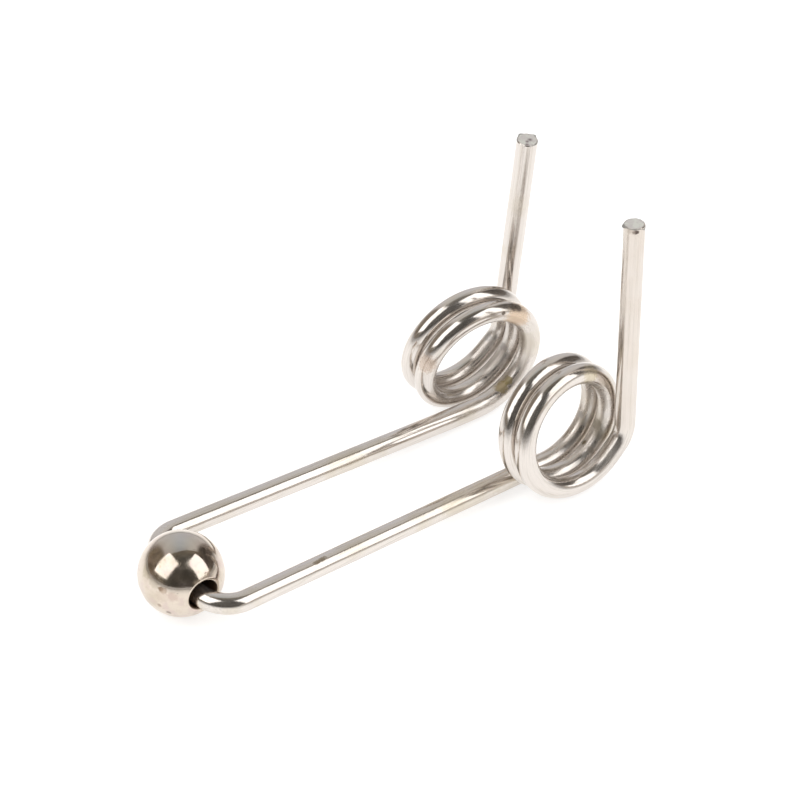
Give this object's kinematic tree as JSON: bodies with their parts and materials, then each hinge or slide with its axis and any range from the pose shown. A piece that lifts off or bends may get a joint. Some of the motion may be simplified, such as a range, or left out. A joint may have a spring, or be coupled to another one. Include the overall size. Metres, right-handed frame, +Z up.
{
  "type": "double torsion spring",
  "caption": "Bright steel torsion spring wound as mirrored coils with upright legs, its arms joined by a crossbar that carries a freely turning drilled ball.",
  "frame": {"origin": "under the middle of the bounding box, on the surface that the ball and the coils rest on", "axes": "+Z up, +X from the crossbar to the legs, +Y to the left-hand coil; the halves mirror across Y = 0"},
  "size_m": [0.0504, 0.0212, 0.0278],
  "materials": {
    "bright_wire": "bright nickel-plated spring wire with faint draw marks",
    "polished_ball": "mirror-polished and nickel-plated, with faint stains and tiny pits"
  },
  "bodies": {
    "spring": {"spring_wire": "bright_wire"},
    "ball": {"ball": "polished_ball"}
  },
  "joints": [
    {"name": "ball_spin", "type": "hinge", "parent": "spring", "child": "ball", "pos_m": [-0.02118, 0, 0.004], "axis": [0, 1, 0], "continuous": true}
  ]
}
